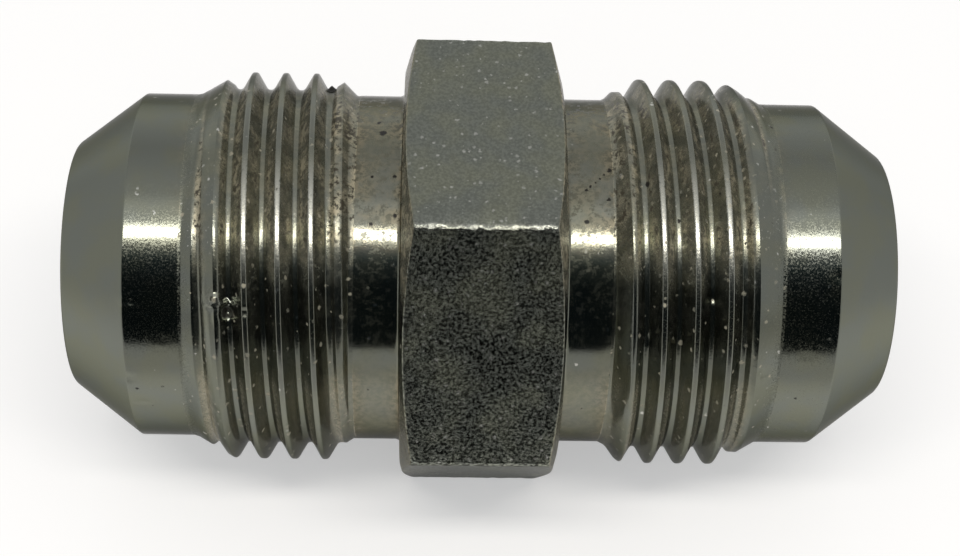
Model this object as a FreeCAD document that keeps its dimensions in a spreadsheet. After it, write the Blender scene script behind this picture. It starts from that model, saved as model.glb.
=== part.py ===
"""A straight union for hydraulic tube, turned from one piece of hexagon bar.

Both ends are alike: a cone seat at the tip, a plain nose, a right-hand thread and a neck that
lets the threading tool run out in front of the hexagon. One bore goes right through.

The model's axis is X. It lies on one flat of its hexagon, so Z = 0 is the surface that it rests
on, and the origin is the middle of that flat. Lengths are in millimetres.
"""
import FreeCAD, Part
import math
import os

import Sketcher
from FreeCAD import Placement, Rotation, Vector

NODE = "adapter_body"

# Driving sizes: name, value, meaning. A size that ends in _angle or _turn is in degrees.
SIZES = [
    ("across_flats", 28.575, "hexagon bar, 1 1/8 inch across its flats"),
    ("hexagon_width", 10.6, "length of hexagon left between the two turned ends"),
    ("bar_edge_radius", 0.3, "rounding of the bar's six long edges"),
    ("hexagon_face_diameter", 27.4, "circle where the corner chamfers meet the hexagon's faces"),
    ("hexagon_chamfer_angle", 16.0, "corner chamfer, from the plane of the face"),
    ("end_length", 22.35, "hexagon face to tip, the same at both ends"),
    ("thread_diameter", 26.95, "over the crests, 1 1/16 inch less the thread's allowance"),
    ("thread_pitch", 2.1167, "twelve threads to the inch"),
    ("thread_flank_angle", 30.0, "flank of the thread groove, from a plane square to the axis"),
    ("thread_crest_width", 0.44, "flat between two turns of the groove"),
    ("thread_start_angle", 30.0, "cone that leads on to the thread, from the axis"),
    ("left_thread_turn", 190.5, "where the left groove starts, round from the top to the front"),
    ("right_thread_turn", 161.6, "the same for the right groove"),
    ("neck_width", 3.2, "hexagon face to the foot of the run-out slope"),
    ("neck_relief", 0.025, "how far the neck lies under the thread's root"),
    ("neck_corner", 0.3, "bevel between the neck and the hexagon's face"),
    ("neck_slope_angle", 45.0, "run-out slope up to the thread, from the axis"),
    ("nose_width", 3.7, "plain cylinder between the thread and the cone seat"),
    ("nose_relief", 0.125, "how far the nose lies under the thread's root"),
    ("seat_angle", 37.0, "cone seat, from the axis"),
    ("bore_diameter", 15.5, "hole for the oil, right through"),
    ("bore_edge", 0.25, "broken edge at each mouth of the hole"),
    ("tip_ring_width", 0.7, "wall at the tip, from the hole to the cone seat"),
    ("tool_pass", 1.0, "how far a turning tool passes outside the bar"),
    ("thread_tool_pass", 0.1, "how far the threading tool's section stands over the crest"),
]

# Sizes that follow from the driving ones, in the document's own expressions. All are distances
# from the hexagon's middle along the axis, or radii.
CORNER = "Sizes.across_flats / 2 / cos(30)"
FACE_X = "Sizes.hexagon_width / 2"
TIP_X = f"({FACE_X} + Sizes.end_length)"
CREST = "Sizes.thread_diameter / 2"
HALF_GROOVE = "(Sizes.thread_pitch - Sizes.thread_crest_width) / 2"
ROOT = f"({CREST} - {HALF_GROOVE} / tan(Sizes.thread_flank_angle))"
NECK = f"({ROOT} - Sizes.neck_relief)"
NECK_MIDDLE_X = f"({FACE_X} + Sizes.neck_width / 2)"
NOSE = f"({ROOT} - Sizes.nose_relief)"
TIP = "(Sizes.bore_diameter / 2 + Sizes.tip_ring_width)"
SEAT_START_X = f"({TIP_X} - ({NOSE} - {TIP}) / tan(Sizes.seat_angle))"
NOSE_MIDDLE_X = f"({SEAT_START_X} - Sizes.nose_width / 2)"

# A sketch's own numbers: the points of an edge, and its origin.
START, END, CENTRE = 1, 2, 3
ORIGIN = (-1, 1)
SAME = 1e-6  # lengths closer than this are equal


def make_sheet(doc):
    """A spreadsheet of the driving sizes: one row each, with its name as the cell's alias."""
    sheet = doc.addObject("Spreadsheet::Sheet", "Sizes")
    for row, (name, value, meaning) in enumerate(SIZES, start=1):
        sheet.set(f"A{row}", name)
        sheet.set(f"B{row}", str(value))
        sheet.set(f"C{row}", meaning)
        sheet.setAlias(f"B{row}", name)
    doc.recompute()


def value(expression):
    """What an expression comes to, as a plain number."""
    result = FreeCAD.ActiveDocument.Sizes.evalExpression(expression)
    return getattr(result, "Value", result)


def origin_item(body, role):
    """One of the body's own origin planes, found by its role."""
    return next(item for item in body.Origin.OriginFeatures if item.Role == role)


def new_sketch(body, name, role):
    """An empty sketch on one of the body's origin planes."""
    sketch = body.newObject("Sketcher::SketchObject", name)
    sketch.AttachmentSupport = [(origin_item(body, role), "")]
    sketch.MapMode = "FlatFace"
    return sketch


def rule(sketch, kind, *where):
    """Add one constraint that has no size."""
    sketch.addConstraint(Sketcher.Constraint(kind, *where))


def measure(sketch, name, expression, kind, *where):
    """Add one named dimension to a sketch and tie it to the sheet. Angles are in degrees."""
    start = value(expression)
    if kind == "Angle":
        start = math.radians(start)
    index = sketch.addConstraint(Sketcher.Constraint(kind, *where, start))
    sketch.renameConstraint(index, name)
    sketch.setExpression(f"Constraints.{name}", expression)


def draw_loop(sketch, points):
    """Join (x, y) points, in order, into a closed loop of straight edges. Returns the edges."""
    corners = [Vector(x, y, 0) for x, y in points]
    ends = corners[1:] + corners[:1]
    edges = [sketch.addGeometry(Part.LineSegment(a, b), False) for a, b in zip(corners, ends)]
    for edge, following in zip(edges, edges[1:] + edges[:1]):
        rule(sketch, "Coincident", edge, END, following, START)
    return edges


def edges_where(feature, test):
    """Names of the feature's edges that pass a test."""
    numbered = enumerate(feature.Shape.Edges, start=1)
    return [f"Edge{number}" for number, edge in numbered if test(edge)]


def make_bar(body):
    """The stock: hexagon bar as long as the finished piece, lying on a flat, its edges rounded."""
    sketch = new_sketch(body, "bar_section", "YZ_Plane")
    reach = value(CORNER)
    turns = [math.radians(60 * number) for number in range(6)]
    sides = draw_loop(sketch, [(reach * math.cos(t), reach * math.sin(t)) for t in turns])
    guide = sketch.addGeometry(Part.Circle(Vector(), Vector(0, 0, 1), reach), True)
    rule(sketch, "Coincident", guide, CENTRE, *ORIGIN)
    for side in sides:
        rule(sketch, "PointOnObject", side, START, guide)
    for side in sides[1:]:
        rule(sketch, "Equal", sides[0], side)
    top = sides[1]
    rule(sketch, "Horizontal", top)
    measure(sketch, "half_flats", "Sizes.across_flats / 2", "DistanceY", *ORIGIN, top, START)

    bar = body.newObject("PartDesign::Pad", "hexagon_bar")
    bar.Profile = sketch
    bar.SideType = "Symmetric"
    bar.setExpression("Length", f"2 * {TIP_X}")
    body.Document.recompute()

    def runs_along_bar(edge):
        first, last = (vertex.Point for vertex in edge.Vertexes)
        return abs(last.x - first.x) > SAME

    rounded = body.newObject("PartDesign::Fillet", "rounded_bar")
    rounded.Base = (bar, edges_where(bar, runs_along_bar))
    rounded.setExpression("Radius", "Sizes.bar_edge_radius")


def draw_end_outline(body):
    """Half section of what the lathe takes off the right end, above the axis.

    Its lower side is the outline of the finished end, in order from the hexagon to the tip:
    corner chamfer, face, bevel, neck, run-out slope, thread crest, lead cone, nose, cone seat.
    """
    sketch = new_sketch(body, "end_outline", "XZ_Plane")
    face_x, tip_x, seat_x = value(FACE_X), value(TIP_X), value(SEAT_START_X)
    crest, neck, nose, tip = value(CREST), value(NECK), value(NOSE), value(TIP)
    outside = value(f"{CORNER} + Sizes.tool_pass")
    face = value("Sizes.hexagon_face_diameter / 2")
    bevel, past = value("Sizes.neck_corner"), value("Sizes.tool_pass")
    slope_x = value(f"{FACE_X} + Sizes.neck_width")
    lead_x = value(f"{SEAT_START_X} - Sizes.nose_width")
    rise = crest - neck

    edges = draw_loop(sketch, [
        (face_x - past, outside), (face_x, face), (face_x, neck + bevel), (face_x + bevel, neck),
        (slope_x, neck), (slope_x + rise, crest), (lead_x - rise, crest), (lead_x, nose),
        (seat_x, nose), (tip_x, tip), (tip_x + past, tip), (tip_x + past, outside)])
    (chamfer, hexagon_face, corner, neck_line, slope, crest_line, lead, nose_line, seat,
     clear_of_tip, beyond, above) = edges

    for level in (neck_line, crest_line, nose_line, clear_of_tip, above):
        rule(sketch, "Horizontal", level)
    for upright in (hexagon_face, beyond):
        rule(sketch, "Vertical", upright)

    axial, radial = "DistanceX", "DistanceY"
    measure(sketch, "face_x", FACE_X, axial, *ORIGIN, hexagon_face, START)
    measure(sketch, "tip_x", TIP_X, axial, *ORIGIN, clear_of_tip, START)
    measure(sketch, "neck_width", "Sizes.neck_width", axial, hexagon_face, START, slope, START)
    measure(sketch, "nose_width", "Sizes.nose_width", axial, nose_line, START, nose_line, END)
    measure(sketch, "past_tip", "Sizes.tool_pass", axial, clear_of_tip, START, clear_of_tip, END)
    measure(sketch, "bevel", "Sizes.neck_corner", axial, corner, START, corner, END)
    measure(sketch, "bevel_rise", "Sizes.neck_corner", radial, corner, END, corner, START)
    for name, expression, edge in (
            ("outside", f"{CORNER} + Sizes.tool_pass", above),
            ("face", "Sizes.hexagon_face_diameter / 2", hexagon_face),
            ("neck", NECK, neck_line), ("crest", CREST, crest_line), ("nose", NOSE, nose_line),
            ("tip", TIP, clear_of_tip)):
        measure(sketch, f"{name}_radius", expression, radial, *ORIGIN, edge, START)
    for name, expression, edge in (
            ("chamfer", "Sizes.hexagon_chamfer_angle - 90", chamfer),
            ("slope", "Sizes.neck_slope_angle", slope),
            ("lead", "-Sizes.thread_start_angle", lead),
            ("seat", "-Sizes.seat_angle", seat)):
        measure(sketch, f"{name}_angle", expression, "Angle", edge)
    return sketch


def turn_ends(body):
    """Turn the right end to its outline, then the left end to the same outline."""
    sketch = draw_end_outline(body)
    right = body.newObject("PartDesign::Groove", "right_end")
    right.Profile = sketch
    right.ReferenceAxis = (sketch, ["H_Axis"])
    right.Angle = 360
    left = body.newObject("PartDesign::Mirrored", "left_end")
    left.Originals = [right]
    left.MirrorPlane = (origin_item(body, "YZ_Plane"), [""])
    body.Tip = left


def drill_bore(body):
    """Drill the hole for the oil from end to end and break the edges of both mouths."""
    sketch = new_sketch(body, "bore_circle", "YZ_Plane")
    start = Part.Circle(Vector(), Vector(0, 0, 1), value("Sizes.bore_diameter / 2"))
    circle = sketch.addGeometry(start, False)
    rule(sketch, "Coincident", circle, CENTRE, *ORIGIN)
    measure(sketch, "bore_radius", "Sizes.bore_diameter / 2", "Radius", circle)
    bore = body.newObject("PartDesign::Pocket", "bore")
    bore.Profile = sketch
    bore.SideType = "Symmetric"
    bore.Type = "ThroughAll"
    body.Document.recompute()

    def is_mouth(edge):
        is_round = isinstance(edge.Curve, Part.Circle)
        return is_round and abs(2 * edge.Curve.Radius - value("Sizes.bore_diameter")) < SAME

    mouths = body.newObject("PartDesign::Chamfer", "bore_mouths")
    mouths.Base = (bore, edges_where(bore, is_mouth))
    mouths.setExpression("Size", "Sizes.bore_edge")


def cut_thread(body, side, towards_left):
    """Cut a right-hand thread by sweeping a V along a helix from the neck to the nose.

    Both ends of the sweep are in the clear, because the neck and the nose lie under the root.
    The V's sketch is turned about the axis to where the groove starts.
    """
    sketch = new_sketch(body, f"{side}_groove", "XZ_Plane")
    sketch.AttachmentOffset = Placement(Vector(), Rotation(Vector(1, 0, 0), 0))
    sketch.setExpression("AttachmentOffset.Rotation.Angle", f"Sizes.{side}_thread_turn")
    top_expression = f"{CREST} + Sizes.thread_tool_pass"
    middle = -value(NECK_MIDDLE_X) if towards_left else value(NECK_MIDDLE_X)
    root, top = value(ROOT), value(top_expression)
    half_top = (top - root) * value("tan(Sizes.thread_flank_angle)")
    right_flank, open_side, left_flank = draw_loop(
        sketch, [(middle, root), (middle + half_top, top), (middle - half_top, top)])
    rule(sketch, "Horizontal", open_side)
    rule(sketch, "Equal", right_flank, left_flank)
    bottom = (right_flank, START)
    measured = (*bottom, *ORIGIN) if towards_left else (*ORIGIN, *bottom)
    measure(sketch, "from_middle", NECK_MIDDLE_X, "DistanceX", *measured)
    measure(sketch, "root_radius", ROOT, "DistanceY", *ORIGIN, *bottom)
    measure(sketch, "top_radius", top_expression, "DistanceY", *ORIGIN, open_side, START)
    measure(sketch, "flank_slant", "90 - Sizes.thread_flank_angle", "Angle", right_flank)

    thread = body.newObject("PartDesign::SubtractiveHelix", f"{side}_thread")
    thread.Profile = sketch
    thread.ReferenceAxis = (sketch, ["H_Axis"])
    thread.Mode = "pitch-height-angle"
    thread.setExpression("Pitch", "Sizes.thread_pitch")
    thread.setExpression("Height", f"{NOSE_MIDDLE_X} - {NECK_MIDDLE_X}")
    thread.LeftHanded = False
    thread.Reversed = towards_left


def check(doc, body):
    """Stop if anything failed, if a tool cut nothing, or if the result isn't one sound solid."""
    failed = [item.Name for item in doc.Objects if {"Invalid", "Error"} & set(item.State)]
    if failed:
        raise RuntimeError(f"these failed: {failed}")
    features = [item for item in body.Group if item.isDerivedFrom("PartDesign::Feature")]
    for before, after in zip(features, features[1:]):
        removed = before.Shape.Volume - after.Shape.Volume
        print(f"{after.Name}: {removed:.2f} cubic mm removed")
        if removed <= 0:
            raise RuntimeError(f"{after.Name} cut nothing")
    shape = body.Shape
    if shape.isNull() or not shape.isValid() or len(shape.Solids) != 1:
        raise RuntimeError("the body isn't one sound solid")
    print(f"volume {shape.Volume:.1f}, {len(shape.Faces)} faces, box {shape.BoundBox}")


def main():
    doc = FreeCAD.newDocument("hydraulic_adapter")
    make_sheet(doc)
    body = doc.addObject("PartDesign::Body", NODE)
    body.Label = NODE
    body.setExpression("Placement.Base.z", "Sizes.across_flats / 2")
    make_bar(body)
    turn_ends(body)
    drill_bore(body)
    cut_thread(body, "left", towards_left=True)
    cut_thread(body, "right", towards_left=False)
    doc.recompute()
    check(doc, body)
    os.makedirs("parts", exist_ok=True)
    body.Shape.exportStep(f"parts/{NODE}.step")


main()
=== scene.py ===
# %% [markdown]
# # A straight union for hydraulic tube
# The real object is one piece of plated steel, turned from hexagon bar. Each end has a cone that
# seals against a tube, a plain nose, a thread and a narrow neck. The solid from the CAD file
# gives the exact frame, and this lesson builds the visible skin over it: rounded thread crests,
# broken edges, nicks, turning marks and soil. The bore lies along X, and Blender works in metres.

# %% Load the frame
import math

import bpy
import numpy as np
from mathutils import Matrix, Vector


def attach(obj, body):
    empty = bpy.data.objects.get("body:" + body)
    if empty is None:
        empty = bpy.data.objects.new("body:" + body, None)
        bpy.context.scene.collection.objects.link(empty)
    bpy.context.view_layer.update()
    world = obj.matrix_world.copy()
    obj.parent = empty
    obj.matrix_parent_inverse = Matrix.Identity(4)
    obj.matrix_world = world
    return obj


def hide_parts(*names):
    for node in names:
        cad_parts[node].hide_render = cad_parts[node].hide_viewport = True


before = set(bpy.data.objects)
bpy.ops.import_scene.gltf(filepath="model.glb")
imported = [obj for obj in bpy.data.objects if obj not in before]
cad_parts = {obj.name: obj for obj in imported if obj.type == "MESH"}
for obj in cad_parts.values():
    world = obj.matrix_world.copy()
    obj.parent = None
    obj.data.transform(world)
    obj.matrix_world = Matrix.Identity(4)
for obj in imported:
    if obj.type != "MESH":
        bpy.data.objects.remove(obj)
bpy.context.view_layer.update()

NODE = "adapter_body"
MM = 0.001

# %% [markdown]
# ## Camera
# The photograph looks down on the union from the front at about fifty degrees and from close by,
# so near parts look larger than far ones. A camera can be placed by eye, but then the long rows
# of threads never quite fall into line. So the place and the lens were found by matching circles
# of known size, and the camera is turned a little about its own line of sight.

# %% Camera
ACROSS_FLATS = 28.575
AXIS_HEIGHT = ACROSS_FLATS / 2
CAMERA_PLACE = Vector((-3.827, -81.696, 114.567)) * MM
CAMERA_AIM = Vector((0.132, -0.497, 13.882)) * MM
CAMERA_ROLL = math.radians(3.051)
LENS = 68.845

eye = bpy.data.cameras.new("camera")
eye.lens, eye.sensor_width, eye.clip_start = LENS, 36.0, 0.005
camera = bpy.data.objects.new("camera", eye)
camera.location = CAMERA_PLACE
aimed = (CAMERA_AIM - CAMERA_PLACE).to_track_quat("-Z", "Y").to_matrix()
camera.rotation_euler = (aimed @ Matrix.Rotation(CAMERA_ROLL, 3, "Z")).to_euler()
bpy.context.scene.collection.objects.link(camera)
bpy.context.scene.camera = camera
bpy.context.scene.view_settings.view_transform = "Standard"
print("camera to the union, mm:", round((CAMERA_AIM - CAMERA_PLACE).length / MM, 1))


# %% [markdown]
# ## Node helpers
# A material is a small machine of nodes. These helpers keep the recipes short. The first adds a
# node and sets its inputs, either to a number or to another node's output. The others start a
# material or a node group, and wrap the few kinds of sum that the recipes use most.

# %% Node helpers
def add_node(tree, kind, inputs=(), **settings):
    """Add one node. inputs maps a socket's name or number to a value or to another socket."""
    made = tree.nodes.new(kind)
    for name, setting in settings.items():
        setattr(made, name, setting)
    for name, value in dict(inputs).items():
        if isinstance(value, bpy.types.NodeSocket):
            tree.links.new(value, made.inputs[name])
        else:
            made.inputs[name].default_value = value
    return made


def new_material(name):
    """An empty material and its node tree."""
    material = bpy.data.materials.new(name)
    material.use_nodes = True
    material.node_tree.nodes.clear()
    return material, material.node_tree


def new_group(name, inputs, outputs):
    """An empty node group. inputs maps a name to (kind, start), and outputs a name to a kind."""
    group = bpy.data.node_groups.new(name, "ShaderNodeTree")
    for socket, (kind, start) in inputs.items():
        made = group.interface.new_socket(socket, in_out="INPUT", socket_type="NodeSocket" + kind)
        made.default_value = start
    for socket, kind in outputs.items():
        group.interface.new_socket(socket, in_out="OUTPUT", socket_type="NodeSocket" + kind)
    return group, group.nodes.new("NodeGroupInput").outputs


def close_group(group, results):
    """Join a group's results to its output sockets."""
    add_node(group, "NodeGroupOutput", results)


def use_group(tree, group, inputs):
    """Put a group into a tree and return its outputs."""
    made = tree.nodes.new("ShaderNodeGroup")
    made.node_tree = group
    for name, value in inputs.items():
        if isinstance(value, bpy.types.NodeSocket):
            tree.links.new(value, made.inputs[name])
        else:
            made.inputs[name].default_value = value
    return made.outputs


def sums(tree, operation, *values):
    """One step of arithmetic on numbers or sockets."""
    return add_node(tree, "ShaderNodeMath", dict(enumerate(values)), operation=operation).outputs[0]


def vectors(tree, operation, *values):
    """One step of arithmetic on vectors. A length, distance or product comes out as a number."""
    made = add_node(tree, "ShaderNodeVectorMath", dict(enumerate(values)), operation=operation)
    wanted = "Value" if operation in ("LENGTH", "DISTANCE", "DOT_PRODUCT") else "Vector"
    return made.outputs[wanted]


def rise(tree, value, low, high, start=0.0, stop=1.0):
    """A smooth step from start to stop while value goes from low to high."""
    made = add_node(tree, "ShaderNodeMapRange", {"Value": value, "From Min": low, "From Max": high,
                                                 "To Min": start, "To Max": stop},
                    interpolation_type="SMOOTHSTEP")
    return made.outputs["Result"]


def blend(tree, factor, first, second):
    """A mix of two colours. The mix node's colour sockets are its sixth and seventh."""
    return add_node(tree, "ShaderNodeMix", {0: factor, 6: first, 7: second},
                    data_type="RGBA").outputs[2]


def noise(tree, place, scale, detail=2.0, roughness=0.5):
    """Cloudy noise from 0 to 1 with about scale lumps to the unit."""
    return add_node(tree, "ShaderNodeTexNoise", {"Vector": place, "Scale": scale, "Detail": detail,
                                                 "Roughness": roughness}).outputs[0]


# %% [markdown]
# ## Studio
# Metal shows what stands round it, so the studio matters as much as the finish. The union lies on
# a pale floor in a white room. A warm strip lamp hangs above the front, and a tent of cards seen
# only in reflections stands round it: dark in front, where the photographer was, grey above. A
# picture of a real room would light it as well, but cards can be moved by a degree at a time,
# until each bright and dark band lies on the metal where it should.

# %% Floor
FLOOR_RADIUS = 1.2
FLOOR_COLOUR = (0.93, 0.93, 0.93, 1)
# In reflections only, the floor is painted darker far in front, as painted shade, and given a painted
# glow close to the union.
FLOOR_DIM = (0.66, 0.66, 0.66, 1)    # in reflections of the floor far in front
FLOOR_PAPER = (0.62, 0.62, 0.62, 1)  # to the camera, for which the floor also glows a little,
FLOOR_LIFT = 0.41                    # so that it reads as white paper under a light shadow
FLOOR_SHEEN = 0.10       # added in reflections of the floor close to the union
FLOOR_NEAR = (-0.060, -0.025)  # the floor turns from far to close between these places in Y


def disc(name, radius, height, rings=2, spokes=96):
    """A flat disc: points at r (cos a, sin a, height) for each spoke a and ring r."""
    angle = np.linspace(0, 2 * np.pi, spokes, endpoint=False)
    ring = radius * np.arange(1, rings + 1)[:, None] / rings
    flat = np.stack([ring * np.cos(angle), ring * np.sin(angle), 0 * ring * angle + height], -1)
    points = np.vstack([[0, 0, height], flat.reshape(-1, 3)])
    here = np.arange(spokes)
    after = (here + 1) % spokes
    faces = [(0, 1 + a, 1 + b) for a, b in zip(here, after)]
    for step in range(rings - 1):
        inner, outer = 1 + step * spokes, 1 + (step + 1) * spokes
        faces += [(inner + a, outer + a, outer + b, inner + b) for a, b in zip(here, after)]
    mesh = bpy.data.meshes.new(name)
    mesh.from_pydata(points.tolist(), [], faces)
    made = bpy.data.objects.new(name, mesh)
    bpy.context.scene.collection.objects.link(made)
    return made


paint, tree = new_material("floor_paint")
path = add_node(tree, "ShaderNodeLightPath")
place_xyz = add_node(tree, "ShaderNodeTexCoord").outputs["Object"]
ahead = add_node(tree, "ShaderNodeSeparateXYZ", {0: place_xyz}).outputs["Y"]
# Seen in reflections: a painted glow on the floor close to the union, and painted shade far in front.
close = sums(tree, "MULTIPLY", rise(tree, ahead, *FLOOR_NEAR), path.outputs["Is Glossy Ray"])
away = sums(tree, "SUBTRACT", path.outputs["Is Glossy Ray"], close)
lift = sums(tree, "MULTIPLY", path.outputs["Is Camera Ray"], FLOOR_LIFT)
lift = sums(tree, "MULTIPLY_ADD", close, FLOOR_SHEEN, lift)
tint = blend(tree, away, FLOOR_COLOUR, FLOOR_DIM)
shade = add_node(tree, "ShaderNodeBsdfPrincipled",
                 {"Base Color": blend(tree, path.outputs["Is Camera Ray"], tint, FLOOR_PAPER),
                  "Roughness": 0.9, "Specular IOR Level": 0.0,
                  "Emission Color": (0.985, 0.99, 1, 1), "Emission Strength": lift})
add_node(tree, "ShaderNodeOutputMaterial", {"Surface": shade.outputs[0]})
floor = disc("floor", FLOOR_RADIUS, 0.0)
floor.data.materials.append(paint)
print("floor:", len(floor.data.polygons), "faces")

# %% World: white to the eye, softer as a source of light, and grey in reflections
ROOM_LIGHT = 0.58
ROOM_SHEEN = 0.66

world = bpy.data.worlds.new("room")
world.use_nodes = True
tree = world.node_tree
tree.nodes.clear()
path = add_node(tree, "ShaderNodeLightPath")
level = sums(tree, "MULTIPLY_ADD", path.outputs["Is Glossy Ray"], ROOM_SHEEN - ROOM_LIGHT, ROOM_LIGHT)
seen = sums(tree, "MAXIMUM", path.outputs["Is Camera Ray"], path.outputs["Is Transmission Ray"])
level = sums(tree, "MAXIMUM", level, seen)
sky = add_node(tree, "ShaderNodeBackground", {"Color": (1, 1, 1, 1), "Strength": level})
add_node(tree, "ShaderNodeOutputWorld", {"Surface": sky.outputs[0]})
bpy.context.scene.world = world

# %% Strip lamp
LAMP_ELEVATION = math.radians(71)  # above the front, seen from the union
LAMP_DISTANCE = 0.30
LAMP_SIZE = (0.34, 0.036)  # along the bore, and across
LAMP_POWER = 0.55
LAMP_COLOUR = (1.0, 0.955, 0.89)

middle = Vector((0, 0, AXIS_HEIGHT * MM))
towards_lamp = Vector((0, -math.cos(LAMP_ELEVATION), math.sin(LAMP_ELEVATION)))
strip = bpy.data.lights.new("strip_lamp", "AREA")
strip.shape, strip.size, strip.size_y = "RECTANGLE", *LAMP_SIZE
strip.energy, strip.color = LAMP_POWER, LAMP_COLOUR
lamp = bpy.data.objects.new("strip_lamp", strip)
lamp.location = middle + towards_lamp * LAMP_DISTANCE
lamp.rotation_euler = towards_lamp.to_track_quat("Z", "Y").to_euler()
lamp.visible_camera = False
bpy.context.scene.collection.objects.link(lamp)
print("lamp, mm:", [round(n / MM) for n in lamp.location])

# %% Tent of cards, seen only in reflections
TENT_RADIUS = 0.36
TENT_LENGTH = 0.9
# Elevation above the front horizon, in degrees, and the grey of the card there.
TENT_GREYS = ((-6, 0.012), (-5, 0.09), (-4, 0.012), (40, 0.015), (54, 0.04), (62, 0.25), (70, 0.9),
              (80, 1.15), (89, 1.15), (96, 0.76), (118, 0.62), (133, 0.55), (148, 0.68), (165, 0.92),
              (186, 1.02))


def arch(name, radius, length, greys, steps=193):
    """Half a tube over the union: (x, -r cos e, r sin e) with elevation e, and a grey for each e."""
    elevation = np.radians(np.linspace(greys[0][0], greys[-1][0], steps))
    tone = np.interp(np.degrees(elevation), *zip(*greys))
    ends = np.array([-length / 2, length / 2])
    line = np.stack([-radius * np.cos(elevation), radius * np.sin(elevation)], -1)
    points = np.concatenate([np.column_stack([np.full(steps, x), line]) for x in ends])
    points[:, 2] += AXIS_HEIGHT * MM
    here = np.arange(steps - 1)
    faces = np.stack([here, here + 1, here + 1 + steps, here + steps], -1)
    mesh = bpy.data.meshes.new(name)
    mesh.from_pydata(points.tolist(), [], faces.tolist())
    grey = mesh.attributes.new("grey", "FLOAT", "POINT")
    grey.data.foreach_set("value", np.tile(tone, 2).astype(np.float32))
    made = bpy.data.objects.new(name, mesh)
    bpy.context.scene.collection.objects.link(made)
    return made


card, tree = new_material("card_grey")
grey = add_node(tree, "ShaderNodeAttribute", attribute_name="grey")
# The dark cards are a little blue.
hue = blend(tree, rise(tree, grey.outputs["Fac"], 0.02, 0.3), (0.65, 1.0, 1.15, 1), (1, 1, 1, 1))
glow = add_node(tree, "ShaderNodeEmission", {"Color": hue, "Strength": grey.outputs["Fac"]})
add_node(tree, "ShaderNodeOutputMaterial", {"Surface": glow.outputs[0]})
tent = arch("card_tent", TENT_RADIUS, TENT_LENGTH, TENT_GREYS)
tent.data.materials.append(card)
tent.visible_camera = tent.visible_diffuse = tent.visible_shadow = False
print("tent:", len(tent.data.polygons), "strips")

# %% [markdown]
# ## The shape, as one skin
# The whole surface is one sheet, closed both ways: round the bore, and along the section from the
# hexagon over the thread, the nose and the cone to the tip and back through the bore. So a point
# of the skin is a function of two numbers, its place along the section and its angle. Angles go
# from the top towards the front, and a point lies at (x, -r sin a, r cos a) from the axis. A
# turned profile with a thread cut into it by a Boolean would also do, but its faces would be of
# all sizes, and smooth shading would show every one of them in so bright a metal.

# %% Sizes of the real piece, in millimetres
FACE_X = 5.3             # hexagon face, from the middle of the hexagon
FACE_RADIUS = 13.7       # circle where the corner chamfer meets the face
CHAMFER = math.radians(16)
CORNER_ROUND = 0.45      # along the bar's six edges
NECK, NOSE, BORE, TIP = 12.0, 11.9, 7.75, 8.45
LEAD_X, SEAT_X, TIP_X = 19.37, 23.07, 27.65
SLOPE_X = (8.65, 8.5)     # where the thread rises from the neck, on the left and on the right
CREST, ROOT, PITCH = 13.475, 12.30, 2.1167
STEEP = math.tan(math.radians(60))   # slope of the thread's flanks
CREST_HALF, ROOT_SOFT, CREST_SOFT = 0.15, 0.30, 0.10  # flat of a crest, and heights rounded over
BAND = (8.35, 19.55)     # the threaded stretch, with a little of the neck and the nose
LEAD_SLOPE = math.tan(math.radians(30))  # of the cone that leads on to the thread
root_half = PITCH / 2 - CREST_HALF - (CREST - ROOT) / STEEP
print("half width of the thread's root, mm:", round(root_half, 3))

# %% Columns round the bore
EVEN = 240
NEAR_CORNER = (-1.0, -0.79, -0.53, -0.26, 0.26, 0.53, 0.79, 1.0)
# Closer columns at a burr on the left thread's start, and at a bead of dirt in its last groove.
AT_BURR = (47, 47.5, 48.5, 49, 50, 50.5, 51.5, 52, 53, 53.5, 54.5, 55)
AT_BEAD = (317, 317.5, 318.5, 319)
corners = np.arange(30, 360, 60)
angle = np.sort(np.concatenate([np.arange(EVEN) * 360 / EVEN, AT_BURR, AT_BEAD,
                                (corners[:, None] + np.array(NEAR_CORNER)).ravel()]))
print(len(angle), "columns round the bore")


def hexagon_radius(degrees):
    """Distance from the axis to the bar's skin at each angle.

    On a flat it is the half width over the cosine of the angle from the flat's middle. Near a
    corner it is the far side of a small circle that touches both flats.
    """
    off = np.radians((np.asarray(degrees) + 30) % 60 - 30)
    half = ACROSS_FLATS / 2
    flat = half / np.cos(off)
    centre = (half - CORNER_ROUND) / np.cos(np.pi / 6)
    aside = centre * np.sin(np.pi / 6 - np.abs(off))
    ball = centre * np.cos(np.pi / 6 - np.abs(off)) + np.sqrt(
        np.clip(CORNER_ROUND**2 - aside**2, 0, None))
    past = np.abs(np.tan(off)) > (half - CORNER_ROUND) * np.tan(np.pi / 6) / half
    return np.where(past, ball, flat)


# %% [markdown]
# ## Rounded paths
# A lathe leaves every edge a little broken. A path of straight runs becomes a rounded one by
# putting an arc in each corner that touches both runs, with one extra row close to each side of
# the arc, so that the smooth shading of the arc doesn't spread over the flat beside it. A Bevel
# modifier does the same, but it works on a finished mesh, and here each row has to be known
# before the mesh is made, so that the threads can join on to it.

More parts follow.
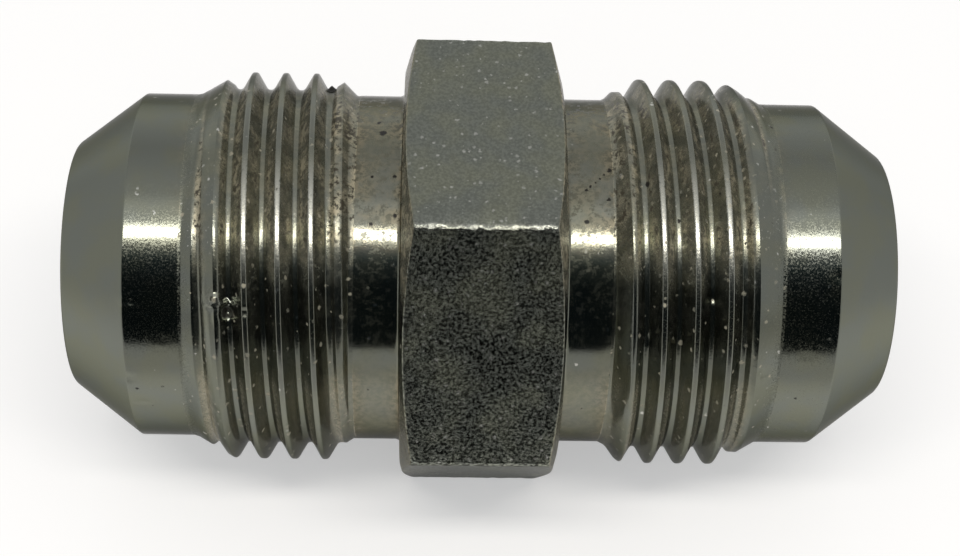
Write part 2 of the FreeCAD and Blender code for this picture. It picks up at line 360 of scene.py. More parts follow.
# %% Rounded path
def rounded(points, rounds, between, steps=2, guard=0.08):
    """A path through points (corner, column, 2) with arcs of the given radii at its inner corners.

    Each arc is swept from one run to the next about the centre on the corner's bisector. between
    says how many rows each straight run gets between its ends. Returns the rows, how sharply the
    skin bends at each, from 0 to 1, and the number of the run that each belongs to.
    """
    rows, bends, runs = [points[0]], [0.0], [0]
    for k in range(1, len(points)):
        last = k == len(points) - 1
        stop = points[k]
        if not last:
            here = points[k]
            back, on = points[k - 1] - here, points[k + 1] - here
            far_back = np.linalg.norm(back, axis=-1, keepdims=True)
            far_on = np.linalg.norm(on, axis=-1, keepdims=True)
            back, on = back / far_back, on / far_on
            half = np.arccos(np.clip((back * on).sum(-1, keepdims=True), -1, 1)) / 2
            reach = np.minimum(rounds[k - 1] / np.tan(half), 0.42 * np.minimum(far_back, far_on))
            radius = reach * np.tan(half)
            both = back + on
            centre = here + both / np.linalg.norm(both, axis=-1, keepdims=True) * (
                radius / np.sin(half))
            first, final = here + back * reach - centre, here + on * reach - centre
            sweep = np.pi - 2 * half
            arc = [centre + (np.sin((1 - t) * sweep) * first + np.sin(t * sweep) * final)
                   / np.sin(sweep) for t in np.linspace(0, 1, steps + 1)]
            stop = here + back * np.minimum(reach + guard, 0.48 * far_back)
            after = here + on * np.minimum(reach + guard, 0.48 * far_on)
        start = rows[-1]
        for t in np.arange(1, between[k - 1] + 1) / (between[k - 1] + 1):
            rows.append(start + (stop - start) * t)
        rows.append(stop)
        straight = between[k - 1] + 1
        bends += [0.0] * straight
        runs += [k - 1] * straight
        if not last:
            rows += [*arc, after]
            bends += [0.7, *[1.0] * (steps - 1), 0.7, 0.0]
            runs += [k - 1] * (steps // 2 + 1) + [k] * (steps - steps // 2 + 1)
    return np.array(rows), np.array(bends), np.array(runs)


def ring(x, radius):
    """The same (x, radius) in every column; either may already differ from column to column."""
    return np.stack([x + 0 * angle, radius + 0 * angle], -1)


bar = hexagon_radius(angle)
chamfer_x = FACE_X - (bar - FACE_RADIUS) * math.tan(CHAMFER)
hexagon_rows, hexagon_bends, hexagon_runs = rounded(
    [ring(0, bar), ring(chamfer_x, bar), ring(FACE_X, FACE_RADIUS), ring(FACE_X, NECK),
     ring(BAND[0], NECK)],
    rounds=(0.14, 0.10, 0.3), between=(18, 0, 1, 2))
end_rows, end_bends, end_runs = rounded(
    [ring(BAND[1], NOSE), ring(SEAT_X, NOSE), ring(TIP_X, TIP), ring(TIP_X, BORE + 0.25),
     ring(TIP_X - 0.25, BORE), ring(0, BORE)],
    rounds=(0.2, 0.3, 0.08, 0.08), between=(8, 5, 0, 0, 2))
print(len(hexagon_rows), "rows on half the hexagon,", len(end_rows), "from nose to bore")

# %% [markdown]
# ## The threads
# A right-hand thread climbs one pitch for each turn. A Screw modifier can sweep one tooth into
# such a thread, but its two ends stay open and have to be trimmed to the blank. Here the rows of
# the one sheet climb with the thread, so that a row runs exactly along the crest and another
# along the root, and thin highlights stay clean. Where a climbing row would leave the threaded
# stretch, it ends on the stretch's edge ring.

# %% Thread form
TOP = PITCH / 2 - CREST_HALF
ROOT_TURN, CREST_TURN = ROOT_SOFT / STEEP, CREST_SOFT / STEEP  # half lengths of the creases
# Places from a root to the next crest, closer together where the form is round.
CLIMB = np.array([0, root_half / 2, root_half, root_half + ROOT_TURN / 2, root_half + ROOT_TURN,
                  TOP - CREST_TURN, TOP, TOP + CREST_TURN, PITCH / 2])
PHASES = np.concatenate([CLIMB, PITCH - CLIMB[-2:0:-1]])
GROOVE_X = {"left": -14.37, "right": 12.30}  # a root at the very top of the piece


def smaller(a, b, soft=0.1):
    """The smaller of two heights, with the crease where they cross rounded over a soft width."""
    near = np.clip(soft - np.abs(a - b), 0, None)
    return np.minimum(a, b) - near**2 / (4 * soft)


def thread_radius(beyond):
    """Radius of the thread at a distance along the axis beyond any root.

    The flanks stand at sixty degrees to each other. Root and crest are flats, and each runs into
    its flanks by a soft crease.
    """
    off = np.abs((beyond + PITCH / 2) % PITCH - PITCH / 2)
    flank = ROOT + (off - root_half) * STEEP
    over_root = -smaller(-flank, -ROOT, ROOT_SOFT)
    return smaller(over_root, CREST, CREST_SOFT)


BLANK_OVER = 0.12        # how far the blank stands over the crests, which the thread's form cuts


def outline_radius(x):
    """Radius of the turned blank: neck, slope, crest, lead cone and nose, in straight runs."""
    top = CREST + BLANK_OVER
    heights = [NECK, NECK, top, top, NOSE, NOSE]
    full = LEAD_X - (top - NOSE) / LEAD_SLOPE
    left, right = (np.interp(np.abs(x), [0, slope, slope + top - NECK, full, LEAD_X, TIP_X], heights)
                   for slope in SLOPE_X)
    return np.where(np.asarray(x) < 0, left, right)


def from_root(x, degrees):
    """Distance along the axis from a root of the thread, which climbs a pitch in each turn."""
    return x - np.where(x < 0, GROOVE_X["left"], GROOVE_X["right"]) - PITCH * degrees / 360


LIFT_X, LIFT_SOFT = (9.6, 10.6), (0.6, 0.1)  # places from the middle, and the crease's softness


def turned_radius(x, degrees):
    """Radius of the turned skin: the blank's or the thread's, whichever is less.

    The tool lifts out slowly by the neck, so the crease where the two cross is softest there.
    """
    soft = np.interp(np.abs(x), LIFT_X, LIFT_SOFT)
    return smaller(outline_radius(x), thread_radius(from_root(x, degrees)), soft)


SNAP = 0.03              # a row this close to the edge ring ends on it


def thread_rows(side):
    """The climbing rows of one thread, as (row, column, 2), and which ends they are clamped to.

    Row k of turn m lies at x = root + m pitch + phase k + pitch times angle / 360.
    """
    sign = -1 if side == "left" else 1
    low, high = sorted(sign * edge for edge in BAND)
    first = math.floor((low - GROOVE_X[side]) / PITCH) - 1
    turns = math.ceil((high - low) / PITCH) + 3
    start = GROOVE_X[side] + PITCH * (first + np.arange(turns))
    base = (start[:, None] + PHASES).ravel()
    x = base[:, None] + PITCH * angle / 360
    clamp = np.where(x < low + SNAP, -1, np.where(x > high - SNAP, 1, 0))
    x = np.clip(x, low, high)
    return np.stack([x, turned_radius(x, angle)], -1), clamp


# %% [markdown]
# ## Sewing the skin together
# Separate pieces that only touch would look much the same, but light gets in at their seams, and
# they can't be printed. So all rows go into one closed mesh, laid down in order. Plain rings join
# straight across. In a thread each column's first and last points are those of the neighbouring
# rings, and the strip that closes the turn joins each row to the one a pitch further on. A cell
# that has shrunk to a line is left out.

# %% Build the skin
def grid_faces(low, high):
    """Four-sided cells between two rows of point numbers, closed round the bore."""
    return np.stack([low, np.roll(low, -1), np.roll(high, -1), high], -1)


class Skin:
    """Collects points and cells, row by row."""

    def __init__(self):
        self.points, self.cells, self.finish, self.bend = [], [], [], []
        self.count = 0

    def add_points(self, rows, bends):
        """Store (row, column, 2) places and return their numbers in the same order."""
        flat = np.asarray(rows).reshape(-1, 2)
        numbers = np.arange(len(flat)).reshape(np.asarray(rows).shape[:-1]) + self.count
        self.points.append(flat)
        self.bend.append(np.broadcast_to(bends, numbers.shape).ravel())
        self.count += len(flat)
        return numbers

    def add_cells(self, cells, finish):
        """Store four-sided cells that share one finish."""
        cells = cells.reshape(-1, 4)
        self.cells.append(cells)
        self.finish.append(np.full(len(cells), finish))


TURNED, SEAT, THREAD, BAR, BORED = range(5)
HEXAGON_FINISH = (BAR, THREAD, TURNED, TURNED)        # flat, soiled chamfer, face, neck
END_FINISH = (TURNED, SEAT, SEAT, BORED, BORED)       # nose, cone, tip, broken edge, bore
RING_WEAR = 0.15         # how worn the turned edges are, where the bar's long edges are 1
skin = Skin()


def lay_rings(rows, bends, finishes, before=None):
    """Add plain rings, joined to the ring before them. Returns the first and the last ring."""
    numbers = skin.add_points(rows, RING_WEAR * bends[:, None])
    if before is not None:
        skin.add_cells(grid_faces(before, numbers[0]), finishes[0])
    for low, high, finish in zip(numbers, numbers[1:], finishes[1:]):
        skin.add_cells(grid_faces(low, high), finish)
    return numbers[0], numbers[-1]


def lay_thread(side, ring_low, ring_high):
    """Add one thread between two rings that are already there."""
    rows, clamp = thread_rows(side)
    crests = np.clip((rows[..., 1] - CREST) / 0.1 + 1, 0, 1)
    numbers = skin.add_points(rows, crests)
    numbers = np.where(clamp < 0, ring_low, np.where(clamp > 0, ring_high, numbers))
    per_turn = len(PHASES)
    closing = np.concatenate([numbers[per_turn:, 0], np.full(per_turn, ring_high[0])])
    wide = np.column_stack([numbers, closing])
    cells = np.stack([wide[:-1, :-1], wide[:-1, 1:], wide[1:, 1:], wide[1:, :-1]], -1)
    skin.add_cells(cells, THREAD)


hexagon_finish = np.array(HEXAGON_FINISH)[hexagon_runs]
end_finish = np.array(END_FINISH)[end_runs]
mirror = np.array([-1, 1])

first_ring, right_neck = lay_rings(hexagon_rows, hexagon_bends, hexagon_finish)
right_nose, right_middle = lay_rings(end_rows, end_bends, end_finish)
lay_thread("right", right_neck, right_nose)
_, left_nose = lay_rings(end_rows[-2::-1] * mirror, end_bends[-2::-1], end_finish[:0:-1],
                         before=right_middle)
left_neck, last_ring = lay_rings(hexagon_rows[:0:-1] * mirror, hexagon_bends[:0:-1],
                                 hexagon_finish[::-1])
lay_thread("left", left_nose, left_neck)
skin.add_cells(grid_faces(last_ring, first_ring), BAR)

# %% [markdown]
# ## Nicks
# A used fitting has been dropped and gripped. Each nick pushes the skin in by a smooth hollow, and
# throws up a low ridge round it, as soft steel does. The bar's long edges are dented all along.
# Nicks can be sculpted by hand, or faked in a bump. As rows of numbers they change the outline
# too, and each stays exactly where it was put.

# %% Nicks
# Place along the axis, angle, width and depth of each nick.
# A negative depth is a bead of dirt or the lip of a burr.
NICKS = ((-22.90, 78, 0.45, 0.09), (-22.21, 89, 0.4, 0.08), (-22.55, 51, 0.45, 0.15),
         (-16.95, 48.6, 0.50, -0.26), (-16.45, 50.2, 0.34, -0.22), (-17.25, 50.4, 0.26, -0.16),
         (-16.8, 51.6, 0.3, 0.12), (-16.35, 53.6, 0.62, 0.42), (-15.9, 51.0, 0.3, -0.14),
         (-17.3, 86, 0.5, 0.12), (-15.1, 52, 0.5, 0.12), (-13.1, 70, 0.45, 0.10),
         (14.73, 47, 0.5, 0.12), (16.9, 20, 0.45, 0.10), (10.8, 60, 0.45, 0.10),
         (18.2, 71, 0.6, 0.12), (23.0, 40, 0.5, 0.07),
         (-3.4, 30, 0.5, 0.08), (0.9, 30, 0.4, 0.06), (3.1, 30, 0.4, 0.05), (1.9, 90, 0.6, 0.07),
         (-2.6, 90, 0.5, 0.06), (-4.4, 90, 0.6, 0.10), (3.9, 330, 0.5, 0.07),
         (-21.8, 250, 0.8, 0.10), (13.2, 200, 0.5, 0.12), (22.9, 300, 0.7, 0.10),
         (-10.38, -42.0, 0.42, -0.38), (21.2, 66, 0.35, 0.06), (-20.6, 63, 0.3, 0.05))


def place(x, radius, degrees):
    """Points at (x, -r sin a, axis + r cos a), in millimetres."""
    a = np.radians(degrees)
    return np.stack([x, -radius * np.sin(a), AXIS_HEIGHT + radius * np.cos(a)], -1)


def nicked(x, radius, degrees):
    """Lower the radius by a hollow in each nick, with a low ridge thrown up round it.

    The distance d to a nick is measured over the surface, in nick widths. The hollow is
    exp(-4 d^2) and the ridge is a fifth of exp(-9 (d - 1)^2).
    """
    for nick_x, nick_angle, width, depth in NICKS:
        turn = np.radians((degrees - nick_angle + 180) % 360 - 180) * radius
        away = np.hypot(x - nick_x, turn) / width
        radius = radius - depth * (np.exp(-4 * away**2) - 0.2 * np.exp(-9 * (away - 1)**2))
    return radius


DENT_STEP, DENT_DEPTHS, DENT_WIDTH = 0.35, (-0.10, 0.21), 1.3  # mm, mm and degrees
DENT_SHARES = {30: 1.0}  # the upper front edge has had the most blows
OTHER_SHARE = 0.35


def beaten(x, radius, degrees):
    """Lower the radius along the bar's long edges by uneven dents.

    Each edge gets its own row of random depths, joined by straight lines, and a depth below
    nought leaves the edge whole. A dent fades as exp(-(off / width)^2), where off is the angle
    from the edge's own wavering line.
    """
    rng = np.random.default_rng(4)
    spots_x = np.arange(-5.6, 5.7, DENT_STEP)
    for corner in corners:
        depth = np.interp(x, spots_x, rng.uniform(*DENT_DEPTHS, len(spots_x)))
        depth = np.clip(depth, 0, None) * DENT_SHARES.get(corner, OTHER_SHARE)
        line = corner + np.interp(x, spots_x, rng.normal(0, 0.6, len(spots_x)))
        radius = radius - depth * np.exp(-((degrees - line) / DENT_WIDTH)**2)
    return radius


profile = np.concatenate(skin.points)
cells = np.concatenate(skin.cells)
finish = np.concatenate(skin.finish)
bend = np.concatenate(skin.bend)
turns = np.tile(angle, len(profile) // len(angle))
outer = profile[:, 1] > TIP
radius = np.where(outer, nicked(profile[:, 0], profile[:, 1], turns), profile[:, 1])
radius = np.where(profile[:, 1] > CREST + 0.2, beaten(profile[:, 0], radius, turns), radius)
radius = np.minimum(radius, hexagon_radius(turns))
points = place(profile[:, 0], radius, turns) * MM
print(len(NICKS), "nicks")


# %% [markdown]
# ## Where dirt lies and where edges wear
# Soil gathers in the thread's grooves, on the slope beside the neck and in the corner at the
# hexagon, and on the hexagon's chamfers. The flanks that a nut presses on, which face the
# hexagon, are rubbed clean. The long edges of the bar have lost their coat. The Pointiness of the
# Geometry node can find edges and hollows, but it changes with the size of the faces. The shape
# is a formula here, so both facts are worked out from it, and kept as one number a point.

# %% Hollows
across, height = profile.T
span = np.abs(across)
sunk = np.minimum(outline_radius(across), CREST) - height
# Above nought on the flanks that face away from the hexagon, and below it on the pressed ones.
facing = -np.sign(across) * np.sin(2 * np.pi * from_root(across, turns) / PITCH)
groove = np.interp(sunk, [0.02, 0.12, 0.3, 0.9, 1.15], [0.08, 0.6, 1, 0.85, 0.25])
groove = groove * np.interp(facing, [-1, 1], [0.65, 1])
# The last, shallow groove on the lead cone is full of dirt, and so is the slope by the neck.
on_lead = (span > LEAD_X - 1.9) & (span < LEAD_X)
groove = np.maximum(groove, on_lead * np.interp(sunk, [0.03, 0.10], [0, 0.7]))
groove = np.maximum(groove, np.interp(span, [BAND[0], 8.9, 10.1], [0.4, 0.6, 0]))
# In the corner at the hexagon it is thick on the left, and thinner on the right.
by_face = np.where(across < 0, 0.8, 0.3) * np.exp(-np.clip(span - FACE_X, 0, None) / 0.45)
neck = 0.45 + by_face + 0.5 * np.exp(-np.clip(BAND[0] - span, 0, None) / 0.8)
nose = 0.4 * np.exp(-np.clip(span - LEAD_X, 0, None) / 0.4)
on_bar = height > hexagon_radius(turns) - 0.01
on_chamfer = span < FACE_X - 0.02
hollow = np.select([on_bar, height < TIP, on_chamfer, span <= BAND[0], span < BAND[1]],
                   [0.0, 0.3, 0.75, neck, groove], nose)
print("share of the skin that dirt can lie in:", round(float((hollow > 0.3).mean()), 2))

# %% Worn edges
from_corner = np.abs(turns % 60 - 30)
long_edge = np.clip(1.9 - from_corner / 0.55, 0, 1) * on_bar
edge = np.maximum(bend, long_edge)
# The burr on the left thread is bare metal too.
burr = np.hypot(across + 16.8, np.radians(turns - 49.5) * height) / 0.7
edge = np.maximum(edge, np.clip(1.6 - burr, 0, 1))
print("points on long edges:", int((long_edge > 0.5).sum()))


# %% Make the mesh
def make_piece(name, points, cells, finish, marks):
    """A mesh from points and four-sided cells, of which some have shrunk to three sides or less.

    marks maps an attribute's name to one number a point.
    """
    equal = cells == np.roll(cells, -1, axis=1)
    sides = 4 - equal.sum(1)
    quads = cells[sides == 4]
    threes = cells[sides == 3]
    lost = np.argmax(threes == np.roll(threes, -1, axis=1), axis=1)
    keep = (lost[:, None] + np.array([1, 2, 3])) % 4
    threes = np.take_along_axis(threes, keep, axis=1)
    used = np.unique(np.concatenate([quads.ravel(), threes.ravel()]))
    new_number = np.full(len(points), -1)
    new_number[used] = np.arange(len(used))
    corner_list = np.concatenate([new_number[quads].ravel(), new_number[threes].ravel()])
    starts = np.concatenate([np.arange(len(quads)) * 4,
                             len(quads) * 4 + np.arange(len(threes)) * 3])
    mesh = bpy.data.meshes.new(name)
    mesh.vertices.add(len(used))
    mesh.vertices.foreach_set("co", points[used].astype(np.float32).ravel())
    mesh.loops.add(len(corner_list))
    mesh.loops.foreach_set("vertex_index", corner_list.astype(np.int32))
    mesh.polygons.add(len(starts))
    mesh.polygons.foreach_set("loop_start", starts.astype(np.int32))
    order = np.concatenate([finish[sides == 4], finish[sides == 3]])
    mesh.polygons.foreach_set("material_index", order.astype(np.int32))
    mesh.polygons.foreach_set("use_smooth", np.ones(len(starts), bool))
    for mark, values in marks.items():
        layer = mesh.attributes.new(mark, "FLOAT", "POINT")
        layer.data.foreach_set("value", values[used].astype(np.float32))
    mesh.update(calc_edges=True)
    if mesh.validate(verbose=False):
        print("validate changed the mesh of", name)
    print(name, len(used), "points,", 2 * len(quads) + len(threes), "triangles")
    made = bpy.data.objects.new(name, mesh)
    bpy.context.scene.collection.objects.link(made)
    return made


piece = make_piece("union_body", points, cells, finish, {"edge": edge, "hollow": hollow})
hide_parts(NODE)
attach(piece, "root")

# %% [markdown]
# ## Surface effects as node groups
# Turning marks, soil, grain and frost are on several of the finishes. They could be painted on
# pictures, but patterns that are worked out from the place stay sharp however close one looks.
# Each effect is one group that any of the finishes can use. Places go in as millimetres from the
# model's origin, and heights come out as millimetres, so their numbers can be read as sizes.

# %% Turning marks
marks, given = new_group(
    "turning_marks", {"Place": ("Vector", (0, 0, 0)), "Fineness": ("Float", 6.0),
                      "Depth": ("Float", 0.002)}, {"Height": "Float", "Line": "Float"})
split = add_node(marks, "ShaderNodeSeparateXYZ", {0: given["Place"]}).outputs
flat = add_node(marks, "ShaderNodeCombineXYZ", {"Y": split["Y"], "Z": split["Z"]}).outputs[0]
from_axis = vectors(marks, "DISTANCE", flat, (0, 0, AXIS_HEIGHT))
outward = sums(marks, "ABSOLUTE", split["X"])
# The tool moves out along the bar and in along the faces, and each turn leaves one fine line.
along = sums(marks, "MULTIPLY_ADD", from_axis, -0.8, outward)
line_place = add_node(marks, "ShaderNodeCombineXYZ", {
    "X": sums(marks, "MULTIPLY", along, given["Fineness"]),
    "Y": sums(marks, "MULTIPLY", split["Y"], 0.8),
    "Z": sums(marks, "MULTIPLY", split["Z"], 0.8)}).outputs[0]
line = noise(marks, line_place, 1.0, detail=2.0, roughness=0.6)
close_group(marks, {"Height": sums(marks, "MULTIPLY", line, given["Depth"]), "Line": line})

# %% Ragged places: a little noise is added to a place, so that round spots get uneven borders
ragged, given = new_group("ragged_place", {"Place": ("Vector", (0, 0, 0))}, {"Place": "Vector"})
sway = add_node(ragged, "ShaderNodeTexNoise", {
    "Vector": given["Place"], "Scale": 4.0, "Detail": 2.0, "Roughness": 0.6}).outputs["Color"]
sway = vectors(ragged, "SUBTRACT", sway, (0.5, 0.5, 0.5))
close_group(ragged, {"Place": vectors(ragged, "MULTIPLY_ADD", sway, (0.3, 0.3, 0.3),
                                      given["Place"])})

# %% Specks: spots in some of the cells of a random net
specks, given = new_group(
    "specks", {"Place": ("Vector", (0, 0, 0)), "Density": ("Float", 1.0),
               "Share": ("Float", 0.3), "Size": ("Float", 0.25)}, {"Mask": "Float"})
net = add_node(specks, "ShaderNodeTexVoronoi", {"Vector": given["Place"],
                                                "Scale": given["Density"]})
chance = add_node(specks, "ShaderNodeSeparateXYZ", {0: net.outputs["Color"]}).outputs
chosen = sums(specks, "LESS_THAN", chance["X"], given["Share"])
size = sums(specks, "MULTIPLY", given["Size"],
            sums(specks, "MULTIPLY_ADD", chance["Y"], 0.8, 0.2))
inside = sums(specks, "SUBTRACT", 1.0, sums(specks, "DIVIDE", net.outputs["Distance"], size))
strength = sums(specks, "MULTIPLY", chosen, sums(specks, "MULTIPLY_ADD", chance["Z"], 0.7, 0.3))
close_group(specks, {"Mask": sums(specks, "MULTIPLY", rise(specks, inside, 0.0, 0.6), strength)})

# %% Soil: a film of oil and dust in the hollows, with darker flecks in it
DUST_HEIGHT = (22.9, 25.5)  # dust settles from above, and is full from the second height up
DRIP_HEIGHT = (19.0, 16.5)  # the union lay in its own drips, which reach up to the first height

soil, given = new_group(
    "soil", {"Place": ("Vector", (0, 0, 0)), "Hollow": ("Float", 0.0),
             "Flecks": ("Float", 0.5), "Body": ("Float", 0.8)},
    {"Mask": "Float", "Dull": "Float", "Colour": "Color"})
level = add_node(soil, "ShaderNodeSeparateXYZ", {0: given["Place"]}).outputs["Z"]
upper = rise(soil, level, *DUST_HEIGHT, 0.08, 1.0)
# The drips leave an even film. It goes as the square of the hollow, so it is thin on the necks.
under = rise(soil, level, *DRIP_HEIGHT, 0.0, 0.8)
under = sums(soil, "MULTIPLY", under, given["Hollow"])
sheltered = sums(soil, "MULTIPLY", given["Hollow"], upper)
coarse = noise(soil, given["Place"], 0.7, detail=3.0, roughness=0.6)
fine = noise(soil, given["Place"], 2.6, detail=4.0, roughness=0.72)
film = sums(soil, "MULTIPLY", sheltered, rise(soil, coarse, 0.40, 0.60, 0.42, 0.95))
film = sums(soil, "MAXIMUM", film, sums(soil, "MULTIPLY", given["Hollow"], under))
# Flecks crowd together where the coarse noise is high, and leave the crests free.
crowd = sums(soil, "MULTIPLY_ADD", coarse, 0.35, fine)
fleck = rise(soil, crowd, 0.705, 0.755)
fleck = sums(soil, "MULTIPLY", fleck, sums(soil, "MULTIPLY", given["Flecks"], upper))
fleck = sums(soil, "MULTIPLY", fleck, rise(soil, given["Hollow"], 0.15, 0.5))
light = blend(soil, rise(soil, fine, 0.60, 0.40), (0.22, 0.21, 0.14, 1),
              (0.41, 0.36, 0.25, 1))
# A film of little body is thin and oily: it is darker, and the metal shines through it.
light = vectors(soil, "MULTIPLY", light, sums(soil, "MULTIPLY_ADD", given["Body"], 0.5, 0.5))
close_group(soil, {"Mask": sums(soil, "MAXIMUM", film, fleck),
                   "Dull": sums(soil, "MAXIMUM", sums(soil, "MULTIPLY", film, given["Body"]), fleck),
                   "Colour": blend(soil, fleck, light, (0.045, 0.040, 0.028, 1))})

# %% Grain: the hammered look of a surface that was drawn through a die, then plated
grain, given = new_group(
    "grain", {"Place": ("Vector", (0, 0, 0)), "Scale": ("Float", 3.0),
              "Depth": ("Float", 0.01)}, {"Height": "Float", "Lumps": "Float"})
lumps = noise(grain, given["Place"], given["Scale"], detail=3.0, roughness=0.62)
close_group(grain, {"Height": sums(grain, "MULTIPLY", lumps, given["Depth"]), "Lumps": lumps})

# %% Frost: patches of fine cells where the bright coat has gone dull
frost, given = new_group(
    "frost", {"Place": ("Vector", (0, 0, 0)), "Scale": ("Float", 6.5)}, {"Mask": "Float"})
fine = noise(frost, given["Place"], given["Scale"], detail=1.5, roughness=0.6)
close_group(frost, {"Mask": rise(frost, fine, 0.35, 0.75)})

# %% Spots listed one by one
# Each is a place on the skin, as (x, angle), and a radius. Six small ones in a row are a scratch.
DARK_SPOTS = ((-10.38, -42.0, 0.40), (-16.35, 53.4, 0.34), (-6.66, -8.4, 0.22),
              (-6.94, -13.8, 0.11), (-7.27, 10.0, 0.10),
              (-5.80, 9.8, 0.10), (-7.26, 25.8, 0.11), (-5.75, 23.2, 0.12), (6.45, -25.8, 0.14),
              (6.55, -30.0, 0.10), (5.75, -22.0, 0.12), (8.03, 16.8, 0.11), (6.60, 24.1, 0.15),
              (6.60, 13.5, 0.08), (6.88, 12.2, 0.08), (7.18, 10.8, 0.07), (7.50, 9.4, 0.08),
              (7.80, 7.9, 0.07), (8.15, 6.2, 0.14), (10.54, 12.3, 0.17), (12.51, 23.8, 0.12),
              (15.12, 16.2, 0.10))

spots, given = new_group("dark_spots", {"Place": ("Vector", (0, 0, 0))}, {"Mask": "Float"})
total = 0.0
for x, degrees, size in DARK_SPOTS:
    centre = place(x, turned_radius(x, degrees), degrees)
    away = vectors(spots, "DISTANCE", given["Place"], tuple(float(n) for n in centre))
    total = sums(spots, "MAXIMUM", total, rise(spots, away, size * 1.4, size * 0.9))
close_group(spots, {"Mask": total})
print(len(DARK_SPOTS), "dark spots, and groups:", [group.name for group in bpy.data.node_groups])

# %% [markdown]
# ## Finishes
# All finishes are one recipe with different numbers. The plating is metal, a little olive. Soil
# and dark spots lie on it and aren't metal, so they lower the metallic share where they cover it.
# Worn edges and crests are painted brighter, partly as wear and partly as a painted highlight, and
# some cells get a painted glint. The bump node turns the sum of the heights into a tilt of the
# surface.

# %% Recipe for plated steel
COOL_PLATING = np.array((0.187, 0.199, 0.175))
WARM_PLATING = np.array((0.196, 0.204, 0.162))
# Worn edges and crests are painted this lighter colour, partly as wear and partly as a painted
# highlight. The next colour is a painted glint.
WORN_LIT_COLOUR = (0.42, 0.42, 0.375, 1)
GLINT = (0.60, 0.60, 0.56, 1)
CRUST = (0.30, 0.28, 0.215, 1)
BLACK_SPOT = (0.012, 0.011, 0.009, 1)
# Places, in millimetres, between which an effect fades in.
FLAT_ENDS = (7.9, 8.6)             # in Y, where the bar's top flat meets its neighbours
NOSE_STARTS = (18.5, 19.5)         # in X
RIGHT_SIDE = (-5.0, 5.0)           # in X
# Between these places the painted highlight on worn edges and crests fades in, towards the upper
# front.
HIGHLIGHT_UP, HIGHLIGHT_FRONT = (23.3, 25.7), (-1.0, -4.5)  # in Z and in Y


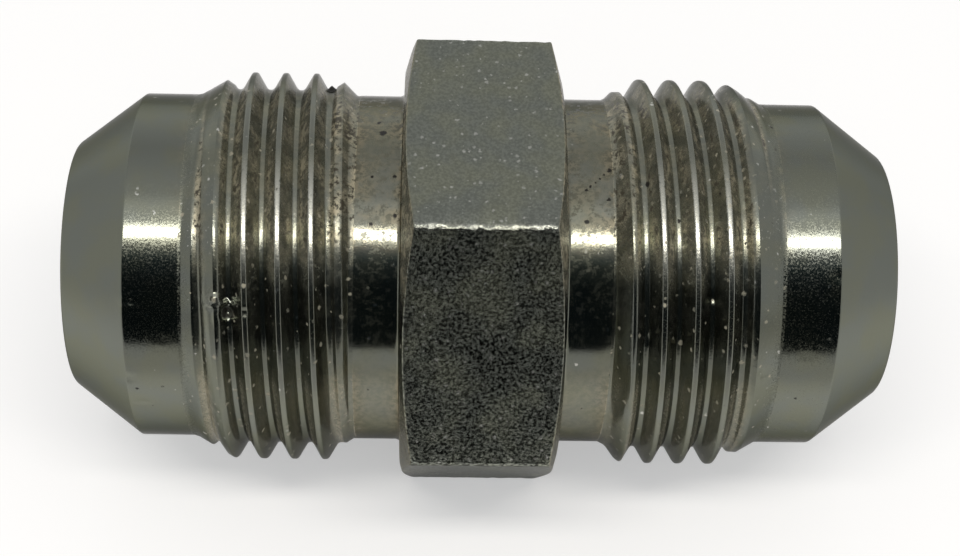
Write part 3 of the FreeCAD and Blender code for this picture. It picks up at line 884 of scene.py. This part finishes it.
def plated(name, roughness, coat=1.0, turning=0.0, grain_depth=0.0, grain_scale=5.0, mottle_and_shade=0.0,
           top_share=1.0, chalk=0.0, frosted=0.0, painted_glints=0.0, film=0.3, flecks=0.0, crusts=0.0,
           pits=0.0, wear_and_shine=0.0, haze=-0.02):
    """One finish.

    coat is how light the plating is, as a share of its colour. turning and grain_depth are
    heights in millimetres. mottle_and_shade is how far the grain darkens and lightens the coat;
    the grain is real, but its stronger dark and light on the flats that face sideways is painted
    shade and reflection. top_share is how much of it shows on the flat that faces up, and chalk
    how far it has lost its metal. frosted is the roughness that dull cells add. painted_glints is
    the share of cells painted as a glint, and crusts and pits are shares of the cells that hold
    one. film is how far soil hides the metal, wear_and_shine how bright worn edges and crests are
    painted, partly as wear and partly as a painted highlight, and haze the roughness that they add.
    """
    material, tree = new_material(name)
    where = add_node(tree, "ShaderNodeTexCoord").outputs["Object"]
    where = add_node(tree, "ShaderNodeVectorMath", {0: where, "Scale": 1 / MM},
                     operation="SCALE").outputs[0]
    axes = add_node(tree, "ShaderNodeSeparateXYZ", {0: where}).outputs
    edge = add_node(tree, "ShaderNodeAttribute", attribute_name="edge").outputs["Fac"]
    hollow = add_node(tree, "ShaderNodeAttribute", attribute_name="hollow").outputs["Fac"]
    cloud = noise(tree, where, 0.35, detail=2.0)
    grains = use_group(tree, grain, {"Place": where, "Scale": grain_scale, "Depth": grain_depth})
    lumps, height = grains["Lumps"], grains["Height"]
    metal = blend(tree, rise(tree, cloud, 0.35, 0.65),
                  (*coat * COOL_PLATING, 1), (*coat * WARM_PLATING, 1))
    rough = sums(tree, "MULTIPLY_ADD", cloud, 0.06, roughness - 0.03)
    # The flats that face sideways get the full mottle, the top flat only top_share of it. The grain
    # is real, but its stronger dark and light on the side flats is painted shade and reflection.
    if mottle_and_shade:
        share = rise(tree, sums(tree, "ABSOLUTE", axes["Y"]), *FLAT_ENDS, top_share, 1.0)
        # The worn edges are beaten rougher than the flats.
        deeper = sums(tree, "MULTIPLY_ADD", edge, 5.0, 1.0)
        height = sums(tree, "MULTIPLY", sums(tree, "MULTIPLY", height, share), deeper)
        tone = rise(tree, lumps, 0.38, 0.63, -mottle_and_shade, 0.75 * mottle_and_shade)
        tone = sums(tree, "ADD", tone, rise(tree, cloud, 0.3, 0.7, -0.2, 0.2))
        metal = vectors(tree, "MULTIPLY", metal, sums(tree, "MULTIPLY_ADD", tone, share, 1.0))
    if turning:
        turned = use_group(tree, marks, {"Place": where, "Fineness": 6.0, "Depth": turning})
        height = sums(tree, "ADD", height, turned["Height"])
    if frosted:
        dull = use_group(tree, frost, {"Place": where, "Scale": 8.5})["Mask"]
        # The noses are frosted all over, the necks and threads much less, the right end more.
        outward = sums(tree, "ABSOLUTE", axes["X"])
        dull = sums(tree, "MULTIPLY", dull,
                    rise(tree, outward, *NOSE_STARTS, 0.2 * frosted, frosted))
        dull = sums(tree, "MULTIPLY", dull, rise(tree, axes["X"], *RIGHT_SIDE, 1.0, 1.3))
        rough = sums(tree, "ADD", rough, dull)

    # The edge number is blurred by the grain, so that the worn and painted-bright strip has a ragged
    # border.
    blurred = sums(tree, "MULTIPLY_ADD", lumps, 3.0, sums(tree, "SUBTRACT", edge, 1.5))
    worn_and_lit = rise(tree, blurred, 0.35, 0.65, 0.0, wear_and_shine)
    # The brightness is kept mostly to the upper front, where the lamp's highlight falls: there it is
    # a painted highlight on top of the wear, and elsewhere the edges stay duller.
    worn_and_lit = sums(tree, "MULTIPLY", worn_and_lit, rise(tree, axes["Z"], *HIGHLIGHT_UP, 0.15, 1.0))
    worn_and_lit = sums(tree, "MULTIPLY", worn_and_lit, rise(tree, axes["Y"], *HIGHLIGHT_FRONT, 0.15, 1.0))
    uneven = use_group(tree, ragged, {"Place": where})["Place"]
    # Painted glints: some cells of a random net are painted a light colour, as points of light.
    if painted_glints:
        glint_mask = use_group(tree, specks, {"Place": uneven, "Density": 2.6, "Share": painted_glints,
                                           "Size": 0.46})["Mask"]
        metal = blend(tree, glint_mask, metal, GLINT)
    colour = blend(tree, worn_and_lit, metal, WORN_LIT_COLOUR)
    rough = sums(tree, "MULTIPLY_ADD", edge, haze, rough)
    soiled = use_group(tree, soil, {"Place": where, "Hollow": hollow, "Flecks": flecks,
                                     "Body": film})
    cover = soiled["Dull"]
    colour = blend(tree, soiled["Mask"], colour, soiled["Colour"])
    if mottle_and_shade:
        cover = sums(tree, "MAXIMUM", cover, sums(tree, "MULTIPLY", share, chalk))
    if crusts:
        crusted = use_group(tree, specks, {"Place": uneven, "Density": 1.5, "Share": crusts,
                                           "Size": 0.36})["Mask"]
        colour = blend(tree, crusted, colour, CRUST)
        cover = sums(tree, "MAXIMUM", cover, crusted)
    if pits:
        pitted = use_group(tree, specks, {"Place": uneven, "Density": 1.2, "Share": pits,
                                          "Size": 0.20})["Mask"]
        dark = sums(tree, "MAXIMUM", pitted, use_group(tree, spots, {"Place": uneven})["Mask"])
        colour = blend(tree, dark, colour, BLACK_SPOT)
        cover = sums(tree, "MAXIMUM", cover, dark)
    rough = sums(tree, "MULTIPLY_ADD", cover, 0.22, rough)
    bump = add_node(tree, "ShaderNodeBump", {"Height": height, "Distance": MM, "Strength": 1.0})
    shade = add_node(tree, "ShaderNodeBsdfPrincipled",
                     {"Base Color": colour, "Metallic": sums(tree, "SUBTRACT", 1.0, cover),
                      "Roughness": rough, "Specular Tint": (0.35, 0.35, 0.35, 1),
                      "Normal": bump.outputs["Normal"]})
    add_node(tree, "ShaderNodeOutputMaterial", {"Surface": shade.outputs[0]})
    return material


# %% [markdown]
# ## The five finishes
# The necks and noses are bright from the tool. The cone seats were cut by another tool and are
# evenly dull. The threads and the hexagon's chamfers are the most soiled. The bar's flats keep the
# mottled skin of drawn steel, painted darker and more mottled on the flats that face sideways as
# painted shade and reflection, and the bore is plain. A material for each could be built by
# hand, but as rows of numbers for one recipe they are easy to compare and to tune.

# %% The five finishes, in the order of their numbers
for material in (
        plated("turned_plating", 0.095, coat=0.95, turning=0.003, grain_depth=0.003,
               grain_scale=8.0, frosted=0.16, painted_glints=0.03, film=0.2, flecks=0.65, pits=0.18),
        plated("seat_plating", 0.30, turning=0.004, grain_depth=0.003),
        plated("thread_plating", 0.14, coat=0.88, turning=0.003, grain_depth=0.006, frosted=0.4,
               painted_glints=0.06, film=0.9, flecks=1.0, crusts=0.6, pits=0.14, wear_and_shine=0.85,
               haze=0.05),
        plated("bar_plating", 0.22, coat=1.10, grain_depth=0.014, grain_scale=5.4, mottle_and_shade=0.78,
               top_share=0.19, chalk=0.12, painted_glints=0.40, wear_and_shine=0.2),
        plated("bored_plating", 0.35, turning=0.004)):
    piece.data.materials.append(material)
print("finishes:", [material.name for material in piece.data.materials])
